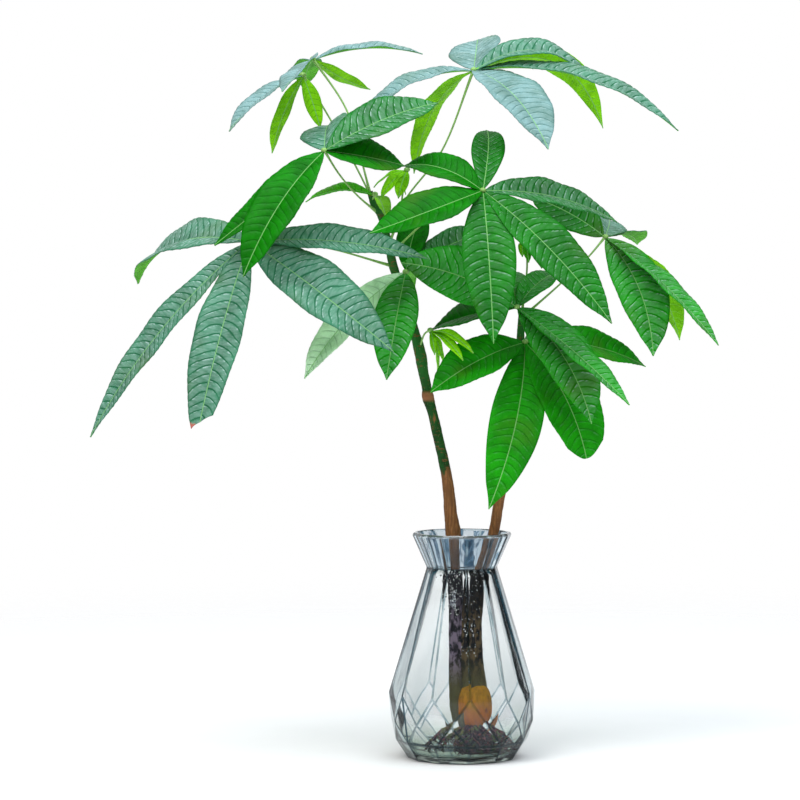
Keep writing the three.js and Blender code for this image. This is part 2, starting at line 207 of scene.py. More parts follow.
# Each leaf has the way that its face looks, a letter of LOOKS for each leaflet, the points
# of its stalk from inside the stem to the knot where the leaflets meet, and a row for each
# leaflet. A row is the tip's x, y and z, the width, how far the middle rises above the
# straight line from knot to tip and sways to its right, the roll about that line in degrees
# and, where a tip is cut off, the share of the outline that is left. Zeros at the end of a
# row are left out.
LEAVES = {
    "leaf_top_left": (
        (0, -0.2, 1), "pplp",
        [(-63, 0, 388), (-70, 8, 415), (-80, 16, 448), (-103, 20, 483)],
        (-27, 30, 487, 24, 6), (-122, -58, 457, 26, 4, -2, 30), (-64, 60, 464, 11, -2, 0, -35),
        (-112, 90, 466, 20, 4),
    ),
    "leaf_left_high": (
        (-0.3, -0.2, 1), "pll",
        [(-59, 0, 379), (-70, 12, 402), (-91, 26, 441), (-110, 20, 472)],
        (-160, -10, 432, 26, 5), (-98, 24, 435, 12, 2), (-132, 30, 418, 13, 3, 0, 50),
    ),
    "leaf_top": (
        (0.05, -0.25, 1), "pppggll",
        [(-53, 0, 365), (-36, 8, 390), (-14, 8, 419), (8, 10, 475)],
        (12, 66, 499, 38, 2, 0, -20), (-73, 5, 434, 30, 12), (56, -75, 418, 42, 10, -1),
        (90, 25, 470, 30, 17, 0, 10), (147, -20, 432, 34, 17), (101, 75, 437, 22, 28, 0, -50),
        (-33, 75, 405, 21, 14),
    ),
    "leaf_left_middle": (
        (-0.1, -0.6, 0.8), "gvddd",
        [(-59, 0, 377), (-72, -15, 388), (-84, -30, 402), (-94, -45, 418)],
        (-92, 14, 437, 36, 5, 0, -20), (-17, -20, 451, 40, 8, 4), (-40, -35, 408, 36, 4, 4),
        (-147, -85, 333, 36, 10), (-168, -50, 354, 24, 2, -4),
    ),
    "leaf_front": (
        (0, -0.6, 0.8), "sddssv",
        [(-50, 0, 347), (-24, -28, 371), (3, -46, 385), (13, -55, 391)],
        (17, 0, 433, 23, 8, 2), (-41, -25, 408, 28, 8), (-63, -80, 362, 36, 4, -5),
        (19, -100, 289, 36, 10), (98, -85, 302, 37, 9, 1), (106, -10, 370, 32, 8),
    ),
    "leaf_big_left": (
        (-0.2, -0.55, 0.8), "ggggg",
        [(-49, 0, 340), (-97, -25, 353), (-145, -40, 357)],
        (-228, 60, 327, 42, 18, -1), (-253, -40, 224, 27, 9, 2),
        (-177, -85, 231, 36, 8, -2, 0, 0.92), (-47, -75, 283, 44, 10, 5),
        (-24, -40, 345, 30, 7),
    ),
    "leaf_young_left": (
        (0, -0.4, 1), "yy",
        [(-62, 0, 384), (-61, -3, 387), (-60, -6, 389)],
        (-108, 6, 384, 18, 6), (-52, 42, 371, 12, 4),
    ),
    "leaf_young_upper": (
        (0, -0.5, 1), "llll",
        [(-50, 0, 356), (-43, -4, 374), (-41, -3, 389), (-38, 0, 406)],
        (-56, -6, 386, 10, 3), (-61, 10, 394, 6, 3), (-44, -12, 386, 10, 2),
        (-39, 8, 389, 6, 2),
    ),
    "leaf_centre": (
        (-0.1, -0.6, 0.8), "mwdvd",
        [(-43, 0, 322), (-41, -4, 330), (-39, -8, 336)],
        (-108, -25, 263, 28, 4, 5), (-52, -45, 263, 31, 6, -1), (-27, 30, 376, 22, 6),
        (27, 20, 365, 26, 6), (-43, 80, 300, 26, 8),
    ),
    "leaf_side_top": (
        (0, -0.5, 0.85), "wwwdww",
        [(41, 0, 304), (39, -12, 309), (37, -25, 312)],
        (-42, -22, 342, 40, 5, 3, -35), (32, 25, 335, 22, 5), (66, 20, 335, 22, 5),
        (-21, 5, 296, 36, 5, -4), (110, -85, 248, 24, 4, 0, -15), (86, -60, 234, 40, 8, -5),
    ),
    "leaf_side_lower": (
        (0.1, -0.6, 0.75), "bbbbb",
        [(39.5, 0, 280), (41, -6, 285), (43, -12, 288)],
        (-22, -30, 254, 37, 6), (17, -55, 176, 36, 9, -6), (128, 20, 270, 32, 8),
        (84, -35, 209, 44, 8, -3, 0, 0.88), (71, 70, 258, 28, 8),
    ),
    "leaf_right": (
        (0.4, -0.3, 0.85), "sggwwl",
        [(41, 0, 304), (69, 14, 328), (88, 20, 346), (100, 25, 360)],
        (48, 34, 388, 34, 4, -4, -35), (106, 75, 372, 26, 2), (127, 95, 355, 24, 6, 2, -30),
        (131, -10, 278, 38, 10, 0, 30), (174, -30, 286, 26, 5), (156, 75, 287, 28, 10, 0, -40),
    ),
    "leaf_young_right": (
        (0, -0.5, 1), "yyyy",
        [(41, 0, 306), (45, 8, 342), (43, 10, 358)],
        (46, 4, 342, 6, 2), (55, 2, 338, 7, 3), (42, 20, 346, 6, 2), (57, 0, 342, 6, 3),
    ),
    "leaf_young_low": (
        (0, -0.5, 1), "lllll",
        [(-30, 0, 281), (-26, -8, 293), (-22, -15, 296)],
        (-19, -20, 279, 5, 2), (-13, -10, 274, 6, 2), (0, -40, 276, 8, 4), (7, -40, 281, 8, 5),
        (-17, -4, 267, 5, 3),
    ),
}


def colour_of(name, what, default):
    """A colour property. what says what has the colour."""
    return FloatVectorProperty(
        name=name, description=f"Colour of {what}", default=default, subtype="COLOR", min=0, max=1
    )


def length_of(name, description, default):
    """A length property. Its default is given in millimetres."""
    return FloatProperty(name=name, description=description, default=default * MM, unit="LENGTH")


def number_of(name, description, default, unit="NONE"):
    """A property for a power, a share or the like."""
    return FloatProperty(name=name, description=description, default=default, unit=unit)


class VaseSettings(bpy.types.PropertyGroup):
    """Sizes and colours of the glass, the water and its bubbles."""

    edge_round: length_of("Edge rounding", "How far each edge between two sides is rounded", 0.8)
    meniscus: length_of("Meniscus", "How far the water climbs the glass", 1.1)
    tint: colour_of("Tint", "the glass", (0.93, 0.94, 0.94))
    smoke: colour_of("Smoke", "the smokier streaks", (0.85, 0.87, 0.88))
    foot_tint: colour_of("Foot tint", "the glass near the foot", (0.54, 0.62, 0.55))
    collar_tint: colour_of("Collar tint", "the glass above the neck", (0.68, 0.75, 0.80))
    # The edge tint is painted shade: the dark lines along the vase's corners, edges and foot.
    painted_edge_shade: colour_of("Edge tint", "the edges between the sides", (0.0006, 0.010, 0.019))
    slant_tint: colour_of("Slant tint", "the glass seen at a slant", (0.30, 0.45, 0.50))
    streak_tint: colour_of("Streak tint", "the collar's dark streaks", (0.035, 0.09, 0.15))
    bubbles: IntProperty(name="Bubbles", description="Air bubbles near the surface", default=46)
    beads: IntProperty(name="Beads", description="Air bubbles on the stems", default=170)


class StemSettings(bpy.types.PropertyGroup):
    """Sizes and colours of the stems, the swollen base and the roots."""

    bark_relief: length_of("Bark relief", "Depth of the bark's bumps", 0.28)
    bark: colour_of("Bark", "the old bark", (0.125, 0.054, 0.019))
    green_bark: colour_of("Green bark", "the young stem", (0.008, 0.05, 0.009))
    wet_main: colour_of("Wet main stem", "the main stem in the water", (0.15, 0.115, 0.16))
    wet_side: colour_of("Wet side stem", "the side stem in the water", (0.075, 0.048, 0.018))
    bulb: colour_of("Swollen base", "the swollen base", (1.0, 0.255, 0.01))
    bulb_top: colour_of("Top of the base", "the base's upper half", (0.9, 0.41, 0.03))
    roots: colour_of("Roots", "the roots", (0.10, 0.018, 0.032))
    stalks: colour_of("Leaf stalks", "the leaf stalks", (0.22, 0.42, 0.10))


class LeafSettings(bpy.types.PropertyGroup):
    """Sizes and colours of the leaflets."""

    vein_gap: length_of("Vein gap", "Distance between side veins along the midrib", 5.6)
    quilt: length_of("Quilting", "How far the blade swells between two veins", 0.6)
    deep: colour_of("Deep green", "leaflets in full green", (0.003, 0.155, 0.0008))
    # The bright green is the deep green made lighter, as painted light, for leaflets that lie in
    # the shade of others.
    bright: colour_of("Bright green", "leaflets in a lighter green", (0.007, 0.245, 0.002))
    grey: colour_of("Grey green", "leaflets with a bloom", (0.03, 0.17, 0.08))
    # The pale blue green is partly the top leaflets' own colour and partly a painted reflection of
    # the sky, which they catch at a slant.
    pale: colour_of("Pale blue green", "the top leaflets", (0.13, 0.265, 0.24))
    veined: colour_of("Veined green", "leaflets with light veins", (0.005, 0.15, 0.012))
    milky: colour_of("Milky green", "the palest low leaflet", (0.50, 0.78, 0.50))
    # The light green, and part of the underside's brightness, is painted light: the light that
    # shines through the leaflets. The underside is also a paler green of its own.
    light: colour_of("Light green", "leaflets that light shines through", (0.19, 0.60, 0.006))
    young: colour_of("Young green", "young leaflets", (0.05, 0.38, 0.003))
    under: colour_of("Underside", "the undersides", (0.09, 0.42, 0.02))
    # The painted sheen is the sky's reflection on the swellings between the veins, painted into
    # the colour.
    painted_sheen: colour_of("Bloom", "the sheen between the veins", (0.48, 0.63, 0.61))
    torn: colour_of("Torn edge", "a torn tip", (0.42, 0.05, 0.02))
    veins: colour_of("Veins", "the midribs and veins", (0.22, 0.50, 0.16))


class StageSettings(bpy.types.PropertyGroup):
    """Floor, lights and camera."""

    floor: colour_of("Floor", "the floor", (0.88, 0.88, 0.88))
    surround: number_of("Surround", "Brightness of the walls before and behind", 0.9)
    sides: number_of("Side walls", "Brightness of the walls at the sides", 0.3)
    mirrored: number_of("Mirrored wall", "Share of the front wall's light in reflections", 0.3)
    key: number_of("Key light", "Power of the large lamp", 33, "POWER")
    sky: number_of("Sky light", "Power of the lamp above", 34, "POWER")
    lens: number_of("Lens", "Focal length", 156.8, "CAMERA")


class TreeSettings(bpy.types.PropertyGroup):
    """All that can be set on the plant, its vase and the stage."""

    vase: PointerProperty(type=VaseSettings)
    stem: PointerProperty(type=StemSettings)
    leaf: PointerProperty(type=LeafSettings)
    stage: PointerProperty(type=StageSettings)


# Materials


def opaque(colour):
    """A colour with its alpha. What is already an output of a node stays as it is."""
    return colour if isinstance(colour, bpy.types.NodeSocket) else (*colour[:3], 1.0)


def shade(colour, share):
    """A colour made lighter or darker by a share."""
    return [min(1.0, part * share) for part in colour]


class Shader:
    """The node tree of a material or world, with short ways to add the nodes used here."""

    def __init__(self, owner):
        self.owner = owner
        owner.use_nodes = True
        self.tree = owner.node_tree
        self.tree.nodes.clear()
        self.coordinates = self.add("TexCoord").node.outputs
        self.place = self.coordinates["Object"]

    def add(self, kind, ins=(), **settings):
        """Adds a node. ins gives its sockets' values or the outputs that feed them."""
        made = self.tree.nodes.new("ShaderNode" + kind)
        for name, value in settings.items():
            setattr(made, name, value)
        for key, value in ins.items() if isinstance(ins, dict) else enumerate(ins):
            if isinstance(value, bpy.types.NodeSocket):
                self.tree.links.new(value, made.inputs[key])
            elif value is not None:
                made.inputs[key].default_value = value
        return made.outputs[0]

    def calc(self, operation, *ins):
        """A Math node."""
        return self.add("Math", ins, operation=operation)

    def times(self, *ins):
        """Two values multiplied."""
        return self.calc("MULTIPLY", *ins)

    def ease(self, value, low, high, start=0.0, stop=1.0):
        """Goes smoothly from start to stop while value goes from low to high."""
        ins = (value, low, high, start, stop)
        return self.add("MapRange", ins, interpolation_type="SMOOTHSTEP")

    def near(self, value, middle, full, none, most):
        """Is most where value is within full of the middle, and 0 from none on."""
        gap = self.calc("ABSOLUTE", self.calc("SUBTRACT", value, middle))
        return self.ease(gap, full, none, most, 0.0)

    def blend(self, share, first, second, way="MIX"):
        """Mixes two colours."""
        ins = {0: share, 6: opaque(first), 7: opaque(second)}
        return self.add("Mix", ins, data_type="RGBA", blend_type=way).node.outputs[2]

    def over(self, colour, other, value, low, high, most=1.0):
        """Lays another colour over one where value goes from low to high."""
        return self.blend(self.ease(value, low, high, 0.0, most), colour, other)

    def tinted(self, colour, tint):
        """One colour multiplied by another."""
        return self.blend(1.0, colour, tint, "MULTIPLY")

    def shades(self, share, colour, dark, light):
        """Goes from a darker shade of a colour to a lighter one."""
        return self.blend(share, shade(colour, dark), shade(colour, light))

    def cloud(self, scale, detail=3.0, roughness=0.5, stretch=None, where=None):
        """Noise around 0.5, drawn out along the axes where stretch is small."""
        where = self.place if where is None else where
        where = self.stretch(where, stretch) if stretch else where
        ins = {"Vector": where, "Scale": scale, "Detail": detail, "Roughness": roughness}
        return self.add("TexNoise", ins)

    def stretch(self, where, scale):
        """Coordinates multiplied along each axis."""
        return self.add("Mapping", {"Vector": where, "Scale": scale})

    def axes(self, where):
        """The x, y and z of a vector."""
        return self.add("SeparateXYZ", (where,)).node.outputs

    def stored(self, name):
        """The vector that the mesh stores under a name."""
        return self.add("Attribute", attribute_name=name).node.outputs["Vector"]

    def slant(self):
        """Goes from 0 where a surface is seen straight on to 1 at its outline."""
        return self.add("LayerWeight", {"Blend": 0.5}).node.outputs["Facing"]

    def relief(self, height, strength, distance):
        """A Bump node."""
        return self.add("Bump", {"Strength": strength, "Distance": distance, "Height": height})

    def finish(self, colour, rough, bumps=None, **sockets):
        """Ends a material in a Principled shader. rough is the roughness, or a noise and
        the least and most roughness that it gives."""
        if isinstance(rough, tuple):
            rough = self.ease(rough[0], 0.3, 0.7, *rough[1:])
        ins = {"Base Color": opaque(colour), "Roughness": rough, "Normal": bumps}
        ins |= {name.replace("_", " "): value for name, value in sockets.items()}
        return self.end(self.add("BsdfPrincipled", ins))

    def end(self, shader, kind="OutputMaterial"):
        """Adds the output and returns what the tree belongs to."""
        out = self.tree.nodes.new("ShaderNode" + kind)
        self.tree.links.new(shader, out.inputs["Surface"])
        return self.owner


def material(name):
    """An empty material's shader."""
    return Shader(bpy.data.materials.new(name))


# Meshes


def in_metres(row):
    """The first three numbers of a row, in metres."""
    return Vector(row[:3]) * MM


def around(turn, reach=1.0, height=0.0):
    """The point at a turn, distance and height about the upright axis."""
    return Vector((reach * math.cos(turn), reach * math.sin(turn), height))


def lumps(place, wide, tall):
    """Noise around 0, whose lumps are so many millimetres wide and tall."""
    x, y, z = place * 1000
    return noise.noise(Vector((x / wide, y / wide, z / tall)))


def ramp(value, low, high):
    """Goes smoothly from 0 to 1 while value goes from low to high."""
    share = min(max((value - low) / (high - low), 0), 1)
    return share * share * (3 - 2 * share)


def smooth_path(points, samples):
    """Places along a smooth curve through the points, with so many to each stretch."""
    ends = [2 * points[0] - points[1], *points, 2 * points[-1] - points[-2]]
    places = [points[0]]
    for before, start, stop, after in zip(ends, ends[1:], ends[2:], ends[3:]):
        lead = math.sqrt((start - before).length)
        gap = math.sqrt((stop - start).length)
        rest = math.sqrt((after - stop).length)
        step = (stop - start) / gap
        leave = (start - before) / lead - (stop - before) / (lead + gap) + step
        reach = step - (after - start) / (gap + rest) + (after - stop) / rest
        handles = start + leave * gap / 3, stop - reach * gap / 3
        places += interpolate_bezier(start, *handles, stop, samples + 1)[1:]
    return places


def spread(values, count):
    """The list of values drawn out evenly to a count."""
    drawn = []
    for k in range(count):
        place = k / (count - 1) * (len(values) - 1)
        first = min(int(place), len(values) - 2)
        drawn.append(values[first] + (values[first + 1] - values[first]) * (place - first))
    return drawn


def smooth(faces, material=0):
    """Shades faces smooth and gives them a material."""
    for face in faces:
        face.smooth = True
        face.material_index = material


def faces_at(verts):
    """The faces that meet at vertices, each once and always in the same order."""
    return list(dict.fromkeys(face for v in verts for face in v.link_faces))


def rings(places, radii):
    """A matrix for each place that turns the unit circle into the ring there."""
    before = [places[0], *places[:-1]]
    after = [*places[1:], places[-1]]
    turn = Quaternion()
    frames = []
    for place, back, ahead, radius in zip(places, before, after, radii):
        turn = (turn @ UP).rotation_difference((ahead - back).normalized()) @ turn
        frames.append(Matrix.LocRotScale(place, turn, Vector((radius, radius, 1))))
    return frames


def tube(bm, places, radii, sides, material=0):
    """A closed tube along places: a disc extruded from one place to the next. radii are in
    millimetres and drawn out over the places. It returns the number of the place and the
    vertex of each corner."""
    frames = rings(places, spread([radius * MM for radius in radii], len(places)))
    made = bmesh.ops.create_circle(
        bm, cap_ends=True, segments=sides, radius=1, matrix=frames[0]
    )["verts"]
    stations = [(0, v) for v in made]
    cap = made[0].link_faces[0]
    for number, (before, after) in enumerate(zip(frames, frames[1:]), 1):
        grown = bmesh.ops.extrude_face_region(bm, geom=[cap, *cap.edges, *cap.verts])["geom"]
        cap = next(item for item in grown if isinstance(item, bmesh.types.BMFace))
        bmesh.ops.transform(bm, matrix=after @ before.inverted(), verts=cap.verts[:])
        stations += [(number, v) for v in cap.verts]
    smooth(faces_at(v for _, v in stations), material)
    return stations


def lathe(bm, profile):
    """A profile of radii and heights turned once round the upright axis."""
    verts = [bm.verts.new((radius * MM, 0, height * MM)) for radius, height in profile]
    edges = [bm.edges.new(pair) for pair in zip(verts, verts[1:])]
    turned = {"cent": (0, 0, 0), "axis": UP, "angle": 2 * math.pi, "steps": LATHE_STEPS}
    bmesh.ops.spin(bm, geom=[*verts, *edges], use_merge=True, **turned)
    bmesh.ops.remove_doubles(bm, verts=bm.verts[:], dist=FLUSH)


def smooth_profile(rows):
    """A profile's rows joined by a smooth curve."""
    points = [Vector((radius, 0, height)) for radius, height in rows]
    return [(place.x, place.z) for place in smooth_path(points, 8)]


def ball(bm, place, size, subdivisions):
    """A ball at a place in metres. Its size is its radius in millimetres."""
    matrix = Matrix.Translation(place) @ Matrix.Scale(size * MM, 4)
    bmesh.ops.create_icosphere(bm, subdivisions=subdivisions, radius=1, matrix=matrix)


def join(bm, part):
    """Adds a part to a mesh. Small parts are made on their own, because that is quicker."""
    made = bpy.data.meshes.new("part")
    part.to_mesh(made)
    part.free()
    bm.from_mesh(made)
    bpy.data.meshes.remove(made)


def new_object(bm, name, materials):
    """Ends a mesh as an object."""
    mesh = bpy.data.meshes.new(name)
    bm.to_mesh(mesh)
    bm.free()
    for each in materials:
        mesh.materials.append(each)
    made = bpy.data.objects.new(name, mesh)
    bpy.context.scene.collection.objects.link(made)
    return made


def new_piece(bm, name, materials, replaced=()):
    """Ends a mesh as a piece that rides on the body."""
    bmesh.ops.recalc_face_normals(bm, faces=bm.faces[:])
    low, high = CAD_BOX
    for v in bm.verts:
        v.co = [min(max(v.co[axis], low[axis]), high[axis]) for axis in range(3)]
    piece = new_object(bm, name, materials)
    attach(piece, BODY)
    if replaced:
        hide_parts(*replaced)


# Vase


def glass_material(settings):
    """Smoky glass with the slight waves of a blown wall, with painted shade along its corners,
    blue streaks in the collar and a painted dark line of shade where the foot ends."""
    mat = material("smoky_glass")
    x, y, height = mat.axes(mat.place)[:3]
    waves = mat.cloud(38.0, 2.0)
    smoke = mat.cloud(22.0, 2.0, stretch=(1, 1, 0.5))
    streaks = mat.cloud(120.0, 2.0, stretch=(1, 1, 0.06))
    slant = mat.slant()
    tint = mat.over(settings.tint, settings.smoke, smoke, 0.35, 0.65)
    tint = mat.over(settings.foot_tint, tint, height, *FOOT_FADE)
    collar = mat.over(settings.collar_tint, settings.streak_tint, streaks, 0.53, 0.6)
    tint = mat.over(tint, collar, height, *COLLAR_FADE)
    tint = mat.over(tint, settings.slant_tint, slant, 0.36, 0.95)
    turn = mat.calc("SUBTRACT", mat.calc("ARCTAN2", y, x), VASE_TURN)
    turn = mat.calc("PINGPONG", turn, SIDE_ANGLE / 2)
    # The painted shade beside the corners is widest at the neck and narrower in the collar.
    width = mat.ease(height, 0.046, 0.129, 0.03, 0.17)
    width = mat.calc("MINIMUM", width, mat.ease(height, 0.129, 0.135, 0.17, 0.1))
    corner_shade = mat.ease(mat.calc("DIVIDE", turn, width), 0.6, 1.0, 1.0, 0.0)
    tint = mat.blend(mat.times(corner_shade, mat.ease(slant, 0.22, 0.38)), tint, settings.painted_edge_shade)
    # Painted shade: a dark line where the foot ends.
    line = mat.near(height, FOOT_TOP * MM, 0.0004, 0.0011, 0.95)
    tint = mat.blend(line, tint, settings.painted_edge_shade)
    return mat.finish(tint, (waves, 0.0, 0.012), mat.relief(waves, 0.12, 0.002), **GLASS)


def edge_material(settings):
    """The edges between two sides, darkened by painted shade, most where they are seen at a slant.
    """
    mat = material("glass_edges")
    waves = mat.cloud(60.0, 2.0)
    clear = mat.over(*EDGE_SHADE_FACING, waves, 0.35, 0.65)
    tint = mat.over(clear, settings.painted_edge_shade, mat.slant(), 0.12, 0.6)
    return mat.finish(tint, (waves, 0.0, 0.03), **GLASS)


def rim_material():
    """The fire-polished rim. Its pale, partly matt glass is a painted highlight, for the light
    that the rim catches.
    """
    mat = material("rim_painted_highlight")
    waves = mat.cloud(90.0, 2.0)
    tint = mat.blend(waves, *RIM)
    return mat.finish(tint, (waves, 0.03, 0.1), IOR=1.5, Transmission_Weight=0.82)


def outer_glass(bm, rounding):
    """The facetted outside: a ring of twelve sides extruded from level to level."""
    frames = [
        Matrix.Translation((0, 0, height * MM))
        @ Matrix.Rotation(VASE_TURN + turn * SIDE_ANGLE, 4, "Z")
        @ Matrix.Scale(radius * MM, 4)
        for radius, height, turn in VASE_RINGS
    ]
    bmesh.ops.create_circle(bm, segments=SIDES, radius=1, matrix=frames[0], cap_ends=True)
    rim = bm.edges[:]
    for before, after in zip(frames, frames[1:]):
        grown = bmesh.ops.extrude_edge_only(bm, edges=rim)["geom"]
        verts = {item for item in grown if isinstance(item, bmesh.types.BMVert)}
        edges = [item for item in grown if isinstance(item, bmesh.types.BMEdge)]
        rim = [edge for edge in edges if verts.issuperset(edge.verts)]
        bmesh.ops.transform(bm, matrix=after @ before.inverted(), verts=list(verts))
    quads = [face for face in bm.faces if len(face.verts) == 4]
    bmesh.ops.triangulate(bm, faces=quads, quad_method="SHORT_EDGE")
    bmesh.ops.dissolve_limit(bm, angle_limit=0.01, verts=bm.verts[:], edges=bm.edges[:])
    widest = max(VASE_RINGS)[1] * MM
    soft = {edge for edge in bm.edges if all(abs(v.co.z - widest) < FLUSH for v in edge.verts)}
    for edge in soft:
        smooth(edge.link_faces)
    rounded = bmesh.ops.bevel(
        bm,
        geom=[edge for edge in bm.edges if not edge.is_boundary and edge not in soft],
        offset=rounding,
        segments=3,
        profile=0.5,
        affect="EDGES",
        material=-1,
    )["faces"]
    for face in rounded:
        face.smooth = False
        face.material_index = EDGE_MATERIAL
    rim_foot = VASE_RINGS[-2][1] * MM - rounding
    for face in bm.faces:
        if face.calc_center_median().z > rim_foot:
            face.material_index = RIM_MATERIAL


def punt(bm):
    """The foot is hollowed a little, so that it stands on its edge."""
    bmesh.ops.recalc_face_normals(bm, faces=bm.faces[:])
    foot = min(bm.faces, key=lambda face: face.calc_center_median().z)
    edge, slope, depth = PUNT
    bmesh.ops.inset_region(bm, faces=[foot], thickness=edge * MM)
    bmesh.ops.inset_region(bm, faces=[foot], thickness=slope * MM, depth=-depth * MM)


class PLANT_OT_vase(bpy.types.Operator):
    """Makes the facetted glass vase with its flared collar"""

    bl_idname = "plant.vase"
    bl_label = "Glass vase"

    def execute(self, context):
        settings = context.scene.money_tree.vase
        bm = bmesh.new()
        outer_glass(bm, settings.edge_round)
        punt(bm)
        outer = set(bm.faces)
        lathe(bm, smooth_profile(VASE_INSIDE))
        smooth(set(bm.faces) - outer)
        loops = [edge for edge in bm.edges if edge.is_boundary]
        for face in bmesh.ops.bridge_loops(bm, edges=loops)["faces"]:
            face.material_index = RIM_MATERIAL
        glass = [glass_material(settings), edge_material(settings), rim_material()]
        new_piece(bm, "vase_glass", glass, ["vase"])
        return {"FINISHED"}


# Water


def water_material():
    """Clear water with a faint movement on its surface."""
    mat = material("clear_water")
    ripple = mat.relief(mat.cloud(90.0, 1.0), 0.04, 0.001)
    return mat.finish(WATER, 0.0, ripple, IOR=1.333, Transmission_Weight=1.0)


def bubble_material():
    """The wall of an air bubble in water."""
    mat = material("air_bubble")
    return mat.finish(WHITE, (mat.cloud(400.0, 1.0), 0.02, 0.12), Metallic=0.8, IOR=0.75)


def inner_radius(height):
    """The vase's inner radius at a height."""
    for (low_radius, low), (high_radius, high) in zip(VASE_INSIDE, VASE_INSIDE[1:]):
        if low <= height < high:
            return low_radius + (high_radius - low_radius) * (height - low) / (high - low)
    raise ValueError(f"{height} is outside the vase")


def stem_beads(count, draw):
    """Places and radii of the beads of air on the stems, most of them near the surface."""
    beads = []
    for number in range(count):
        rows, reach = (MAIN_STEM, 30) if number % 3 else (SIDE_STEM, 60)
        height = WATER_TOP - 1.5 - reach * draw.random() ** 1.3
        low, high = next(pair for pair in zip(rows, rows[1:]) if pair[0][2] <= height < pair[1][2])
        share = (height - low[2]) / (high[2] - low[2])
        x, y, _, radius = Vector(low).lerp(Vector(high), share)
        turn = math.radians(draw.gauss(-115, 40))
        where = Vector((x + radius * math.cos(turn), y + radius * math.sin(turn), height))
        beads.append((where * MM, draw.uniform(0.25, 0.65)))
    return beads


def edge_beads(draw):
    """Places and radii of the beads of air in rows along the glass, inside its front edges."""
    beads = []
    for side, count in EDGE_BEADS:
        for _ in range(count):
            height = draw.uniform(50, WATER_TOP - 4)
            size = draw.uniform(0.2, 0.5)
            turn = VASE_TURN + side * SIDE_ANGLE
            beads.append((around(turn, inner_radius(height) - size, height) * MM, size))
    return beads


def water_profile(climb):
    """Radii and heights from the floor's middle up the wall, over the meniscus and back."""
    wall = [
        (radius + WATER_OVERLAP * (radius > 0), height - WATER_OVERLAP * (height < FOOT_TOP))
        for radius, height in smooth_profile(VASE_INSIDE[:NECK_ROWS])
        if height < WATER_TOP
    ]
    edge = inner_radius(WATER_TOP) + WATER_OVERLAP
    for inwards, share in ((0, 1), (0.6, 0.55), (1.5, 0.2), (3, 0), (edge, 0)):
        wall.append((edge - inwards, WATER_TOP + share * climb))
    return wall


class PLANT_OT_water(bpy.types.Operator):
    """Fills the vase with water up to its neck, with bubbles under the surface"""

    bl_idname = "plant.water"
    bl_label = "Water and bubbles"

    def execute(self, context):
        settings = context.scene.money_tree.vase
        bm = bmesh.new()
        lathe(bm, water_profile(settings.meniscus / MM))
        smooth(bm.faces)
        new_piece(bm, "water_clear", [water_material()], ["water"])

        draw = random.Random(BEAD_SEED)
        bm = bmesh.new()
        for _ in range(settings.bubbles):
            height = WATER_TOP - (0.8 + 9 * draw.random() ** 2)
            turn = draw.uniform(0, 2 * math.pi)
            size = draw.uniform(0.35, 0.95)
            reach = inner_radius(height) - size - 0.2
            ball(bm, around(turn, reach, height) * MM, size, 2)
        for place, size in stem_beads(settings.beads, draw) + edge_beads(draw):
            ball(bm, place, size, 1)
        smooth(bm.faces)
        new_piece(bm, "bubbles", [bubble_material()])
        return {"FINISHED"}


# Stems, swollen base and roots


def bark_material(name, settings, in_water):
    """Brown bark that turns green towards the top, with rings, cracks and pale spots. It is
    dark and blotched in the water."""
    mat = material(name)
    height = mat.axes(mat.place)[2]
    patches = mat.cloud(150.0, 5.0, 0.65, (1, 1, 0.35))
    fibre = mat.cloud(900.0, 4.0, 0.6, (1, 1, 0.08))
    cracks = mat.cloud(520.0, 4.0, 0.7, (0.35, 0.35, 1.0))
    blotches = mat.cloud(330.0, 4.0, 0.7, (1, 1, 0.5))
    brown = mat.shades(patches, settings.bark, 0.55, 1.9)
    brown = mat.over(brown, shade(settings.bark, 2.4), fibre, 0.4, 0.75)
    green = mat.shades(mat.ease(patches, 0.35, 0.65), settings.green_bark, 0.55, 1.7)
    green = mat.over(green, shade(settings.green_bark, 2.6), height, *TOP_FADE)
    green = mat.over(green, shade(settings.bark, 1.3), cracks, 0.55, 0.66)
    green = mat.over(green, shade(settings.bark, 1.9), patches, 0.63, 0.7)
    young = mat.calc("MULTIPLY_ADD", patches, 0.07, height)
    colour = mat.over(brown, green, young, *GREEN_FADE)
    node = mat.near(height, NODE_HEIGHT * MM, 0.0015, 0.0045, 0.85)
    colour = mat.blend(node, colour, NODE_RING)
    where = mat.stretch(mat.place, (1, 1, 0.45))
    spots = mat.add("TexVoronoi", {"Vector": where, "Scale": 620.0})
    colour = mat.blend(mat.ease(spots, 0.08, 0.2, 0.3, 0.0), colour, BARK_SPOT)
    soaked = mat.shades(mat.ease(blotches, 0.42, 0.58), in_water, 0.1, 2.6)
    soaked = mat.over(soaked, shade(in_water, 0.15), height, *WET_TOP_FADE)
    soaked = mat.over(WET_FOOT, soaked, height, *WET_FOOT_FADE)
    colour = mat.over(soaked, colour, height, *WATER_FADE)
    bumps = mat.calc("ADD", mat.times(cracks, 0.6), mat.times(fibre, 0.5))
    bumps = mat.relief(bumps, 0.6, 0.0006)
    return mat.finish(colour, (fibre, 0.5, 0.8), bumps, Specular_IOR_Level=DULL)


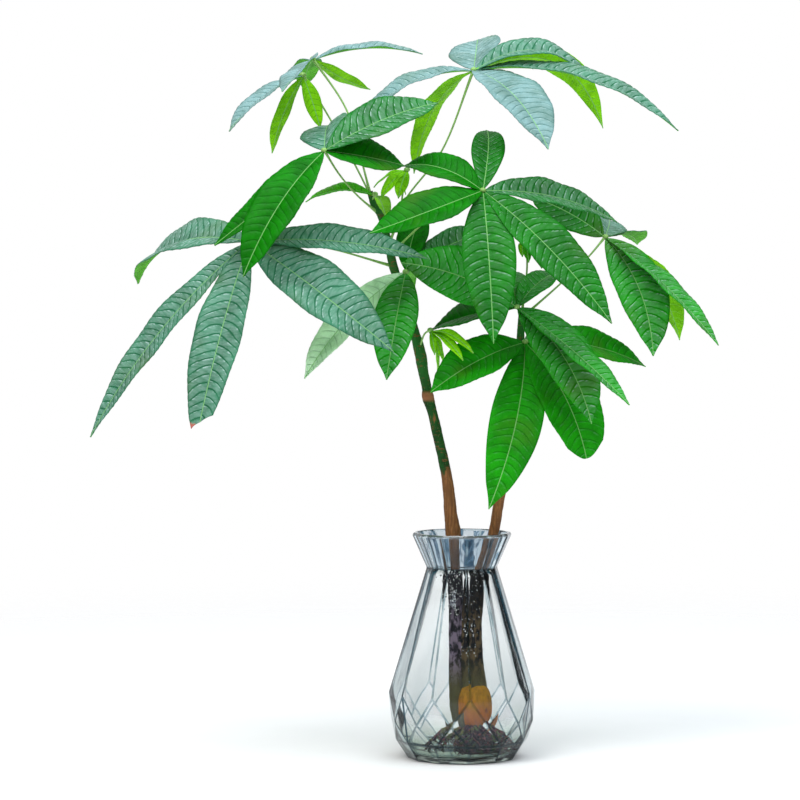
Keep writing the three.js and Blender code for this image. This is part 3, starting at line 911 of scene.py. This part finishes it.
def bulb_material(settings):
    """The orange brown skin of the swollen base, peeling in thin strips."""
    mat = material("bulb_skin")
    height = mat.axes(mat.place)[2]
    strips = mat.cloud(260.0, 5.0, 0.65, (1, 1, 0.25))
    stains = mat.cloud(70.0)
    peeled = mat.ease(strips, 0.3, 0.7)
    skin = mat.shades(peeled, settings.bulb, 0.75, 1.1)
    top = mat.shades(peeled, settings.bulb_top, 0.55, 1.2)
    skin = mat.over(skin, top, mat.calc("MULTIPLY_ADD", stains, 0.012, height), *BULB_FADE)
    skin = mat.over(skin, shade(settings.roots, 1.4), stains, 0.58, 0.72)
    bumps = mat.relief(strips, 0.7, 0.001)
    return mat.finish(skin, (strips, 0.45, 0.7), bumps, Specular_IOR_Level=DULL)


def root_material(settings):
    """Dark roots, lighter where the skin has gone and green where algae grow."""
    mat = material("root_skin")
    worn = mat.cloud(240.0, 4.0, 0.6)
    colour = mat.over(settings.roots, WORN_ROOT, worn, 0.48, 0.7)
    colour = mat.over(colour, ALGAE, mat.cloud(90.0), 0.5, 0.64)
    bumps = mat.relief(worn, 0.5, 0.0006)
    return mat.finish(colour, (worn, 0.55, 0.75), bumps, Specular_IOR_Level=DULL)


def bark_tube(bm, rows, depth):
    """A stem with the bark's bumps in its mesh."""
    places = smooth_path([in_metres(row) for row in rows], 16)
    for station, v in tube(bm, places, [row[3] for row in rows], 28):
        way = v.co - places[station]
        if way.length > 0:
            ring = noise.noise(Vector((3.1, 7.7, (v.co * 1000).z / 1.7)))
            bump = lumps(v.co, 5, 9) + 0.5 * lumps(v.co, 1.5, 4) + 0.5 * ring
            v.co += way.normalized() * depth * bump


class PLANT_OT_stems(bpy.types.Operator):
    """Makes the two stems with their bark"""

    bl_idname = "plant.stems"
    bl_label = "Stems"

    def execute(self, context):
        settings = context.scene.money_tree.stem
        stems = {
            "stem_main": (MAIN_STEM, settings.wet_main),
            "stem_side": (SIDE_STEM, settings.wet_side),
        }
        for name, (rows, in_water) in stems.items():
            bm = bmesh.new()
            bark_tube(bm, rows, settings.bark_relief)
            new_piece(bm, name, [bark_material(name, settings, in_water)], ["trunk"])
        return {"FINISHED"}


def bulb(bm):
    """The swollen base, with bulges and creases."""
    middle = in_metres(BULB_CENTRE)
    shape = Matrix.Translation(middle) @ Matrix.Diagonal((*in_metres(BULB_RADII), 1))
    bmesh.ops.create_uvsphere(bm, u_segments=40, v_segments=32, radius=1, matrix=shape)
    for v in bm.verts:
        bump = 0.7 * lumps(v.co, 7, 12) + 0.4 * lumps(v.co, 2.2, 9)
        v.co += (v.co - middle).normalized() * MM * bump
    smooth(bm.faces)


def root_path(number):
    """The places along a root, which leaves the foot of the stems and nears the floor."""
    reach = ROOT_REACH * (0.55 + 0.45 * ((number * 0.618) % 1))
    start = Vector(ROOT_START)
    end = start + around(number * ROOT_TURN) * reach
    end.z = ROOT_LOWEST + 12 * ((number * 0.38) % 1)
    bend = start.lerp(end, 0.5) + UP * 3
    return smooth_path([start * MM, bend * MM, end * MM], 12)


def rootlets(bm, path, draw):
    """Fine side roots that hang from a root."""
    for place in [*path[3::2], *path[4::2]]:
        way = Vector((draw.uniform(-1, 1), draw.uniform(-1, 1), draw.uniform(-1.2, 0.1)))
        end = place + way.normalized() * draw.uniform(4, 9) * MM
        end.xy = end.xy.normalized() * min(end.xy.length, ROOTS_WITHIN * MM)
        end.z = max(end.z, (ROOT_LOWEST - 1) * MM)
        bend = place.lerp(end, 0.5) + Vector((draw.uniform(-1, 1), draw.uniform(-1, 1), 0)) * MM
        tube(bm, smooth_path([place, bend, end], 4), [0.45, 0.3, 0.12], 6)


def tuft(bm, draw):
    """The tangle of thin roots straight under the swollen base."""
    for _ in range(TUFT_ROOTS):
        out = around(draw.uniform(0, 2 * math.pi))
        start = Vector(ROOT_START) + out * draw.uniform(0, 7) - UP * draw.uniform(5, 16)
        end = start + out * draw.uniform(2, 15) + Vector((TUFT_LEAN, 0, 0))
        end.xy = end.xy.normalized() * min(end.xy.length, ROOTS_WITHIN)
        end.z = ROOT_LOWEST + draw.uniform(-1, 13) * abs(draw.uniform(0.2, 1))
        bend = start.lerp(end, 0.5)
        bend += Vector((draw.uniform(-7, 7), draw.uniform(-7, 7), draw.uniform(-4, 4)))
        tube(bm, smooth_path([start * MM, bend * MM, end * MM], 5), [0.6, 0.45, 0.15], 6)


class PLANT_OT_roots(bpy.types.Operator):
    """Makes the swollen base and the roots in the water"""

    bl_idname = "plant.roots"
    bl_label = "Swollen base and roots"

    def execute(self, context):
        settings = context.scene.money_tree.stem
        bm = bmesh.new()
        bulb(bm)
        new_piece(bm, "bulb", [bulb_material(settings)], ["trunk"])

        draw = random.Random(ROOT_SEED)
        bm = bmesh.new()
        for number in range(ROOT_COUNT):
            part = bmesh.new()
            path = root_path(number)
            tube(part, path, [ROOT_RADIUS * share for share in (1.6, 1, 0.5)], 10)
            rootlets(part, path, draw)
            join(bm, part)
        for _ in range(TUFTS):
            part = bmesh.new()
            tuft(part, draw)
            join(bm, part)
        new_piece(bm, "roots", [root_material(settings)], ["trunk"])
        return {"FINISHED"}


# Leaves


def leaf_material(name, settings, upper):
    """A leaflet's upper side, with sunk veins darkened by painted shade and a painted sheen, the
    sky's reflection, on the swellings between them, or its lower side, which is lighter and
    duller, with raised veins."""
    mat = material(name)
    vein = mat.stored("vein")
    across, _, phase = mat.axes(vein)[:3]
    outward, _, sheen = mat.axes(mat.stored("tone_edge"))[:3]
    tone = mat.stored("tone" if upper else "under_tone")
    streaks = mat.cloud(3.0, 3.0, 0.6, (0.05, 0.16, 0.0), vein)
    grain = mat.cloud(700.0, 3.0, 0.6)
    side = mat.calc("PINGPONG", phase, 0.5)
    lines = mat.times(mat.ease(side, 0.02, 0.1, 1.0, 0.0), mat.ease(outward, 0.5, 0.98, 1.0, 0.1))
    rib = mat.ease(mat.calc("ABSOLUTE", across), 0.12, 0.5, 1.0, 0.0)
    where = mat.stretch(vein, (1.0, 1.0, 0.0))
    net = mat.add("TexVoronoi", {"Vector": where, "Scale": 0.75}, feature="DISTANCE_TO_EDGE")
    net = mat.ease(net, 0.0, 0.09, 1.0, 0.0)
    mottle = mat.ease(mat.cloud(55.0, 4.0, 0.6), 0.3, 0.7)
    colour = mat.blend(mottle, mat.tinted(tone, DARK_MOTTLE), mat.tinted(tone, LIGHT_MOTTLE))
    colour = mat.blend(mat.times(net, 0.2), colour, mat.tinted(tone, FINE_VEIN))
    if upper:
        # Painted sheen: the sky's reflection on the swellings between the veins and on one flank
        # of each, painted into the colour.
        part = mat.calc("FRACT", phase)
        flank = mat.times(mat.ease(part, 0.04, 0.12), mat.ease(part, 0.15, 0.34, 1.0, 0.0))
        flank = mat.times(flank, mat.ease(streaks, 0.42, 0.62, 0.06, 1.05))
        crest = mat.times(mat.ease(side, 0.06, 0.2, 0.0, 0.42), mat.times(sheen, 1.5))
        crest = mat.times(crest, mat.ease(streaks, 0.3, 0.65, 0.35, 1.0))
        painted_sheen_share = mat.times(mat.calc("MAXIMUM", flank, crest), sheen)
        painted_sheen_share = mat.times(painted_sheen_share, mat.ease(outward, 0.75, 1.0, 1.0, 0.3))
        colour = mat.over(colour, OLIVE, mat.cloud(24.0, 2.0), 0.55, 0.75, 0.4)
        colour = mat.blend(painted_sheen_share, colour, settings.painted_sheen)
        # Painted shade darkens the grooves of the sunk veins.
        colour = mat.blend(mat.times(lines, 0.62), colour, mat.tinted(tone, PAINTED_GROOVE_SHADE))
    else:
        lighter = mat.blend(0.35, tone, settings.veins)
        colour = mat.blend(mat.times(lines, 0.6), colour, lighter)
    colour = mat.blend(mat.times(rib, 0.8), colour, settings.veins)
    bumps = mat.times(mat.calc("MAXIMUM", lines, rib), -1.0 if upper else 1.0)
    bumps = mat.calc("MULTIPLY_ADD", net, -0.18 if upper else 0.2, bumps)
    bumps = mat.calc("MULTIPLY_ADD", grain, 0.12, bumps)
    bumps = mat.relief(bumps, 0.6, 0.0003)
    rough = (grain, 0.36, 0.5) if upper else (grain, 0.5, 0.62)
    return mat.finish(colour, rough, bumps, Specular_IOR_Level=0.07)


def stalk_material(settings):
    """Smooth light green leaf stalks with fine lengthwise streaks."""
    mat = material("leaf_stalk")
    streaks = mat.cloud(800.0, stretch=(1, 1, 0.15))
    colour = mat.shades(streaks, settings.stalks, 0.7, 1.35)
    return mat.finish(colour, (streaks, 0.38, 0.5), mat.relief(streaks, 0.3, 0.0003))


def half_width(along, width):
    """Half of a leaflet's width: a short stalk, widest near the middle, then a fine tip."""
    swell = max(math.sin(math.pi * along**0.95), 0)
    pointed = 1 - 0.35 * ramp(along, 0.86, 1.0)
    least = 0.35 if along > 0.5 else 0.9
    return max(width / 2 * swell**0.8 * pointed, least)


class Arch:
    """The curve that a leaflet's midrib follows, and the frame along it."""

    def __init__(self, knot, row, up):
        self.width, rise, sway, roll, share = (*row[3:], 0, 0, 0)[:5]
        self.share = share or 1
        self.tip = Vector(row[:3])
        way = (self.tip - knot).normalized()
        self.length = (self.tip - knot).length
        face = (up - way * up.dot(way)).normalized()
        self.start = knot + way * (KNOT_RADIUS / 2)
        self.crest = self.start.lerp(self.tip, 0.5) + face * (2 * rise)
        self.crest += way.cross(face) * (2 * sway)
        self.face = Quaternion(way, math.radians(roll)) @ face

    def frame(self, along):
        """The place, the way to the right and the way up at a share of the curve."""
        first = self.start.lerp(self.crest, along)
        last = self.crest.lerp(self.tip, along)
        ahead = (last - first).normalized()
        side = ahead.cross(self.face).normalized()
        return first.lerp(last, along), side, side.cross(ahead).normalized()


def blade_box(bm, arch):
    """A thin box of fine faces for a leaflet, from -1 to 1 across and along. Its lower side
    has the second material. It returns the vertices."""
    stations = max(16, round(arch.length / BLADE_STEP))
    strips = 2 * min(max(round(arch.width / BLADE_STRIP), 3), 10)
    sheet = bmesh.ops.create_grid(bm, x_segments=strips, y_segments=stations, size=1)["verts"]
    grown = bmesh.ops.extrude_face_region(bm, geom=faces_at(sheet), use_keep_orig=True)["geom"]
    raised = [item for item in grown if isinstance(item, bmesh.types.BMVert)]
    bmesh.ops.translate(bm, verts=raised, vec=UP)
    corners = [*sheet, *raised]
    faces = faces_at(corners)
    bmesh.ops.recalc_face_normals(bm, faces=faces)
    smooth(faces)
    for face in faces:
        face.material_index = int(all(v.co.z < 0.5 for v in face.verts))
    return corners


def blade(bm, arch, look, settings, seed):
    """One leaflet: a thin box laid along its arch, with a keel at the midrib, swellings
    between the side veins and a waved edge."""
    *tones, sheen = look
    tones = [getattr(settings, tone) for tone in tones]
    vein, tone, under, edge = (bm.verts.layers.float_vector[name] for name in STORED)
    gap = settings.vein_gap / MM * (0.62 + 0.38 * min(arch.width / 30, 1.2))
    quilt = settings.quilt / MM * min(arch.width / 34, 1.1)
    waves = min(max(round(arch.length / 16), 3), 7)
    torn = TORN_SHARE < arch.share < 1
    for v in blade_box(bm, arch):
        upper = v.co.z > 0.5
        across = math.copysign(abs(v.co.x) ** 1.25, v.co.x)
        along = (v.co.y + 1) / 2
        outward = abs(across)
        if torn:
            along *= 1 - (1 - arch.share) * (1 - across) / 2 * along**3
        elif arch.share < 1:
            along *= 1 - 0.1 * outward**2.5 * along**6
        place, side, normal = arch.frame(along)
        half = half_width(along * arch.share, arch.width)
        off = outward * half
        down = along * arch.length
        lean = 0.22 * off + 0.4 * off * outward
        uneven = 0.4 * noise.noise(Vector((down / 11, seed + (across > 0), off / 15)))
        phase = (down - lean) / gap + uneven + (0.4 if across > 0 else 0)
        swell = abs(math.sin(math.pi * phase)) ** 0.45
        calm = ramp(off, 0.4, 3) * (1 - 0.65 * outward**3) * ramp(1 - along, 0, 0.12)
        puff = quilt * (swell - 0.5) * calm * ramp(along, 0.02, 0.12)
        wobble = 0.5 * noise.noise(Vector((down / 26, seed, across * 1.3)))
        wave = -WAVE * math.cos(math.pi * along * waves) * outward * half / arch.width * 2
        scallop = 0.35 * outward**4 * (swell - 0.5) * min(arch.width / 30, 1)
        fold = off * FOLD * ramp(off, 0, 4) + 0.05 * half * math.sin(math.pi * outward)
        groove = -0.3 * ramp(1.1 - off, 0, 0.9) * ramp(1 - along, 0, 0.3)
        thickness = BLADE + (RIB - BLADE) * ramp(1.5 - off, 0, 1.0) * (1 - 0.6 * along)
        lift = fold + wave + puff + wobble * outward + scallop
        lift += groove if upper else -thickness
        v[vein] = (across * half, down, phase)
        v[tone], v[under] = tones
        if torn and along > TORN_TIP:
            v[tone] = settings.torn
        v[edge] = (outward, along, sheen)
        v.co = (place + side * (across * half) + normal * lift) * MM


def stalk_mesh(bm, points):
    """A leaf's stalk, which is thicker at both ends, and the knot on its top."""
    places = smooth_path([in_metres(point) for point in points], 10)
    shares = (1.9, 1.2, 1.0, 1.0, 1.0, 1.0, 1.1, 1.7)
    tube(bm, places, [STALK_RADIUS * share for share in shares], 12, STALK_MATERIAL)
    knot = Matrix.Translation(places[-1]) @ Matrix.Diagonal((1, 1, 0.8, 1))
    made = bmesh.ops.create_icosphere(bm, subdivisions=3, radius=KNOT_RADIUS * MM, matrix=knot)
    smooth(faces_at(made["verts"]), STALK_MATERIAL)


def leaf_mesh(leaf, settings, seed):
    """All the leaflets of one leaf, and its stalk."""
    bm = bmesh.new()
    for name in STORED:
        bm.verts.layers.float_vector.new(name)
    up, letters, stalk, *rows = leaf
    for number, (row, letter) in enumerate(zip(rows, letters)):
        arch = Arch(Vector(stalk[-1]), row, Vector(up).normalized())
        blade(bm, arch, LOOKS[letter], settings, seed + 0.37 * number)
    stalk_mesh(bm, stalk)
    return bm


def make_leaves(context, young):
    """Replaces the leaf nodes of one age by fine leaves."""
    settings = context.scene.money_tree
    upper = leaf_material("young_top" if young else "leaf_top_side", settings.leaf, True)
    lower = leaf_material("young_under" if young else "leaf_under_side", settings.leaf, False)
    sides = [upper, lower, stalk_material(settings.stem)]
    for number, (node, leaf) in enumerate(LEAVES.items()):
        if ("young" in node) == young:
            bm = leaf_mesh(leaf, settings.leaf, number * 5.3)
            new_piece(bm, node.replace("leaf", "spray"), sides, [node])


class PLANT_OT_leaves(bpy.types.Operator):
    """Makes the full-grown leaves"""

    bl_idname = "plant.leaves"
    bl_label = "Full-grown leaves"

    def execute(self, context):
        make_leaves(context, young=False)
        return {"FINISHED"}


class PLANT_OT_young_leaves(bpy.types.Operator):
    """Makes the young leaves"""

    bl_idname = "plant.young_leaves"
    bl_label = "Young leaves"

    def execute(self, context):
        make_leaves(context, young=True)
        return {"FINISHED"}


# Stage


def floor_material(settings):
    """A pale matt floor that fades into the white surroundings."""
    mat = material("pale_floor")
    far = mat.add("VectorMath", (mat.place,), operation="LENGTH").node.outputs["Value"]
    colour = mat.shades(mat.cloud(30.0), settings.floor, 0.985, 1.015)
    matt = mat.add("BsdfPrincipled", {"Base Color": colour, "Roughness": 0.9})
    clear = mat.add("BsdfTransparent")
    return mat.end(mat.add("MixShader", (mat.ease(far, 0.35, 1.3), matt, clear)))


def surroundings(settings):
    """A studio that is white to the camera, whose side walls throw less light and whose
    front and sides show less in gloss and glass."""
    sky = Shader(bpy.data.worlds.new("white_surroundings"))
    depth = sky.axes(sky.coordinates["Generated"])[1]
    strength = sky.ease(sky.calc("ABSOLUTE", depth), 0.2, 0.75, settings.sides, settings.surround)
    rays = sky.add("LightPath").node.outputs
    front = sky.ease(depth, -0.1, 0.85, 1 - settings.mirrored, 0.0)
    dimmed = sky.calc("SUBTRACT", 1.0, sky.times(front, rays["Is Glossy Ray"]))
    strength = sky.times(strength, dimmed)
    walls = sky.add("Background", {"Color": opaque(WALLS), "Strength": strength})
    white = sky.add("Background", {"Color": opaque(WHITE), "Strength": 1.0})
    return sky.end(sky.add("MixShader", (rays["Is Camera Ray"], walls, white)), "OutputWorld")


def aimed(data, place, aim):
    """Puts a lamp or camera at a place, turned to a point."""
    made = bpy.data.objects.new(data.name, data)
    made.location = place
    made.rotation_euler = (Vector(aim) - made.location).to_track_quat("-Z", "Y").to_euler()
    bpy.context.scene.collection.objects.link(made)
    return made


def lamp(name, place, size, power, colour):
    """A large square lamp turned to the plant."""
    data = bpy.data.lights.new(name, "AREA")
    data.size = size
    data.energy = power
    data.color = colour
    aimed(data, place, LAMP_AIM)


class PLANT_OT_stage(bpy.types.Operator):
    """Makes the floor, the surroundings, the lamps and the camera"""

    bl_idname = "plant.stage"
    bl_label = "Stage"

    def execute(self, context):
        scene = context.scene
        settings = scene.money_tree.stage
        bm = bmesh.new()
        bmesh.ops.create_circle(bm, cap_ends=True, segments=LATHE_STEPS, radius=FLOOR_RADIUS)
        new_object(bm, "floor", [floor_material(settings)])

        scene.world = surroundings(settings)
        lamp("key_light", (-0.95, -1.15, 2.2), 1.3, settings.key, (1.0, 0.98, 0.95))
        lamp("sky_light", (0.35, -0.4, 1.9), 1.8, settings.sky, (0.86, 0.93, 1.0))

        data = bpy.data.cameras.new("camera")
        data.lens = settings.lens
        data.sensor_width = 36
        data.clip_end = 50
        scene.camera = aimed(data, CAMERA_PLACE, CAMERA_AIM)
        scene.view_settings.view_transform = "Standard"
        return {"FINISHED"}


class PLANT_PT_money_tree(bpy.types.Panel):
    """Lists the steps and what can be set"""

    bl_label = "Money Tree"
    bl_space_type = "VIEW_3D"
    bl_region_type = "UI"
    bl_category = "Money Tree"

    def draw(self, context):
        settings = context.scene.money_tree
        for group in (settings.vase, settings.stem, settings.leaf, settings.stage):
            box = self.layout.box()
            for name in group.__annotations__:
                box.prop(group, name)
        for step in STEPS:
            self.layout.operator(step.bl_idname)


STEPS = (
    PLANT_OT_vase,
    PLANT_OT_water,
    PLANT_OT_stems,
    PLANT_OT_roots,
    PLANT_OT_leaves,
    PLANT_OT_young_leaves,
    PLANT_OT_stage,
)
GROUPS = (VaseSettings, StemSettings, LeafSettings, StageSettings, TreeSettings)
CLASSES = (*GROUPS, *STEPS, PLANT_PT_money_tree)


def register():
    """Registers the classes and the scene's settings."""
    for each in CLASSES:
        bpy.utils.register_class(each)
    bpy.types.Scene.money_tree = PointerProperty(type=TreeSettings)


def unregister():
    """Takes the settings and the classes away again."""
    del bpy.types.Scene.money_tree
    for each in reversed(CLASSES):
        bpy.utils.unregister_class(each)


def main():
    """Makes every piece and the stage."""
    register()
    bpy.ops.plant.vase()
    bpy.ops.plant.water()
    bpy.ops.plant.stems()
    bpy.ops.plant.roots()
    bpy.ops.plant.leaves()
    bpy.ops.plant.young_leaves()
    bpy.ops.plant.stage()


if __name__ == "__main__":
    main()
